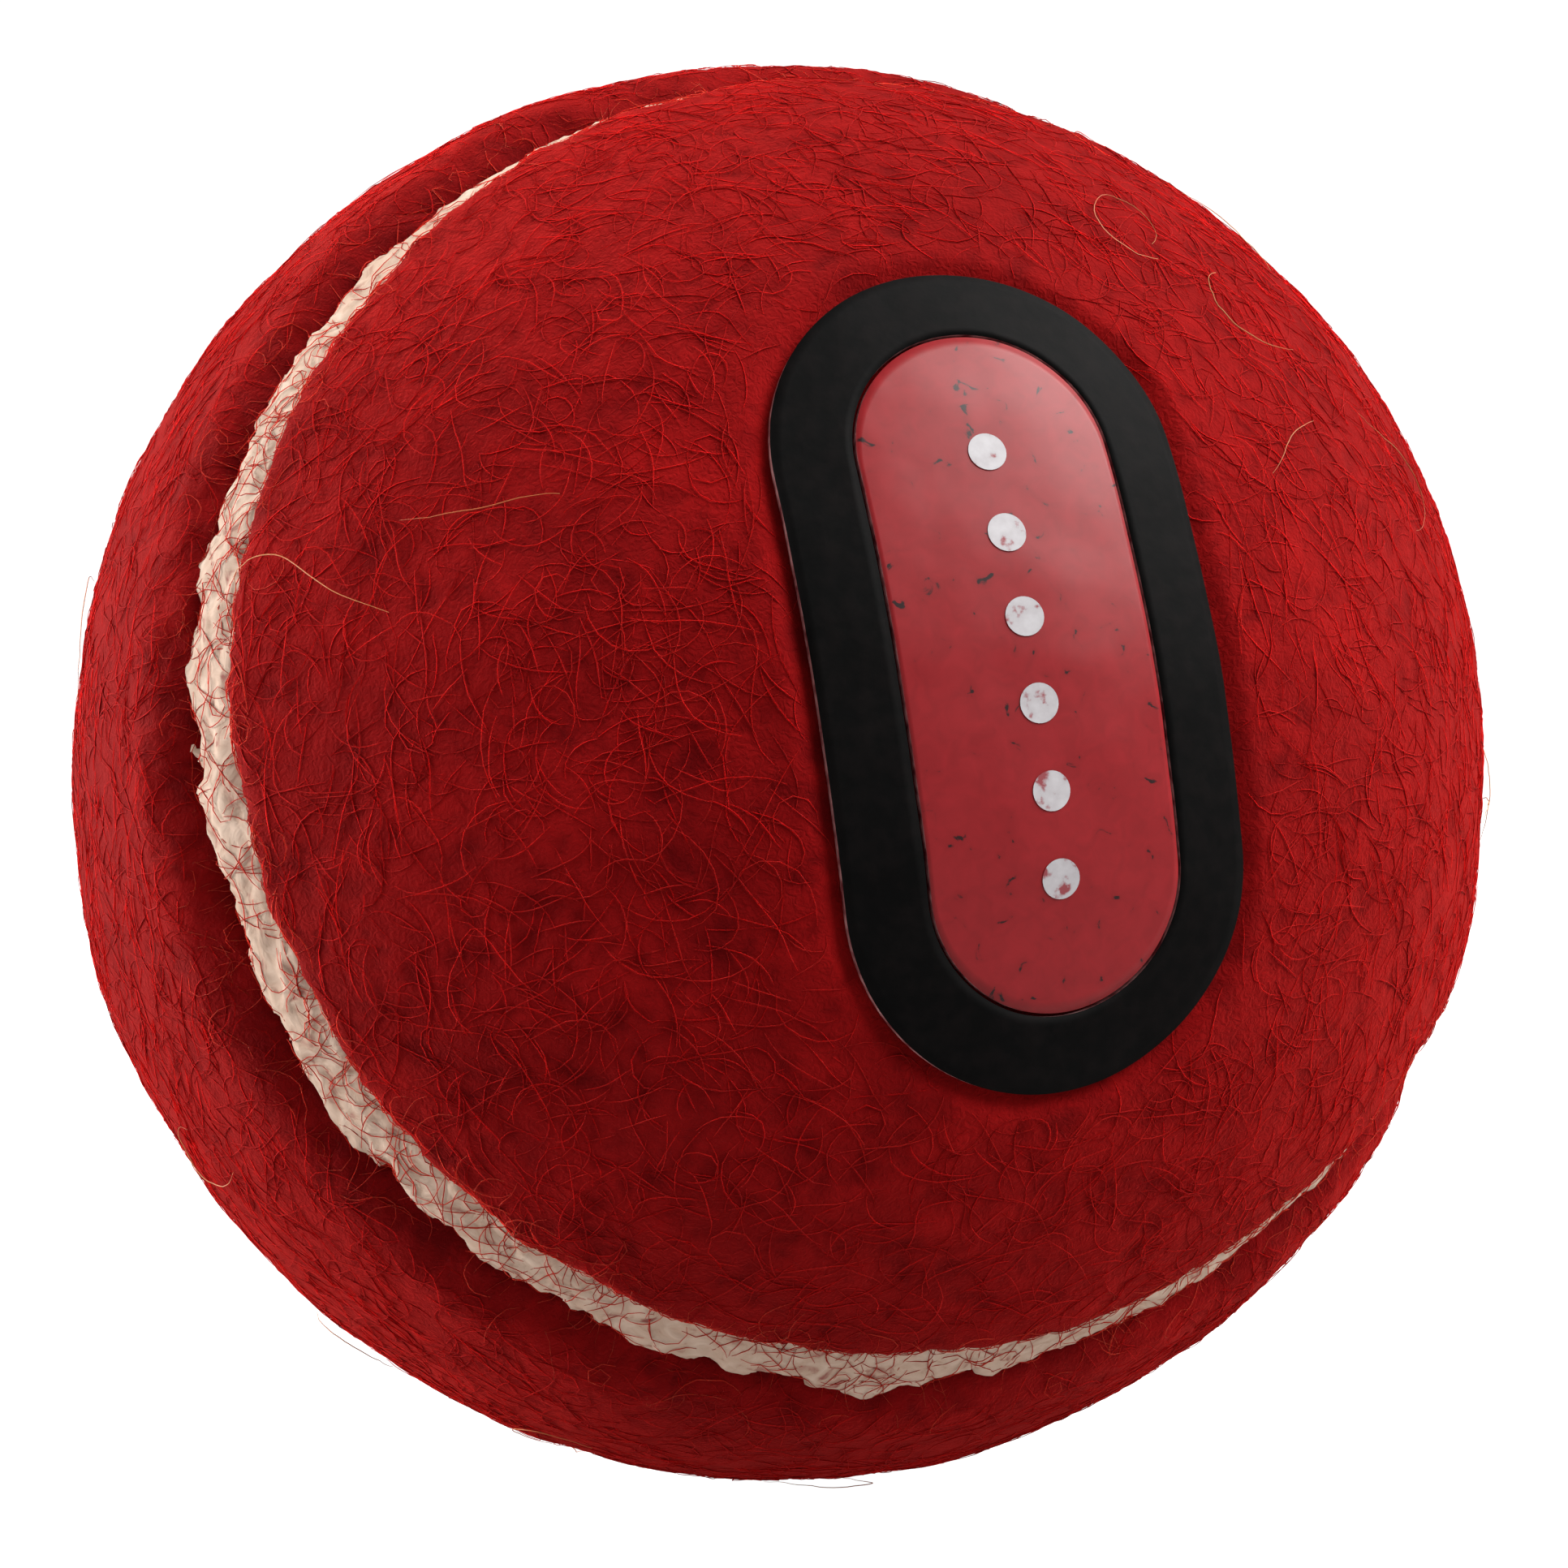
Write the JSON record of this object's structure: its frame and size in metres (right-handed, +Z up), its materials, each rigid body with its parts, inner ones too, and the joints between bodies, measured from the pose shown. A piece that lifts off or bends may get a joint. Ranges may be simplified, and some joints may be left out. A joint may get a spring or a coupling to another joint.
{
  "type": "cricket ball",
  "caption": "Felt-covered practice cricket ball: hollow rubber core, two dumbbell-shaped felt panels, a winding cement seam and a plain printed round-ended mark.",
  "frame": {"origin": "middle of the ball", "axes": "+Z up as the ball lies on its rest point, -Y out through the printed lobe of panel A, +X to the right of it"},
  "size_m": [0.066, 0.066, 0.066],
  "materials": {
    "core_rubber": "matte moulded rubber",
    "joint_cement": "matte",
    "rubber_solution": "matte, slightly tacky",
    "base_cloth": "woven cotton",
    "felt_nap": "teased wool and nylon nap",
    "seam_cement": "lumpy matte vulcanised cement",
    "black_film": "matte printed film",
    "red_film": "satin printed film"
  },
  "bodies": {
    "root": {"core_half_a": "core_rubber", "core_half_b": "core_rubber", "core_joint_cement": "joint_cement", "core_cement_coat": "rubber_solution", "panel_a_base_cloth": "base_cloth", "panel_b_base_cloth": "base_cloth", "panel_a_nap": "felt_nap", "panel_b_nap": "felt_nap", "seam_cement": "seam_cement", "mark_frame_film": "black_film", "mark_field_film": "red_film"}
  },
  "joints": []
}
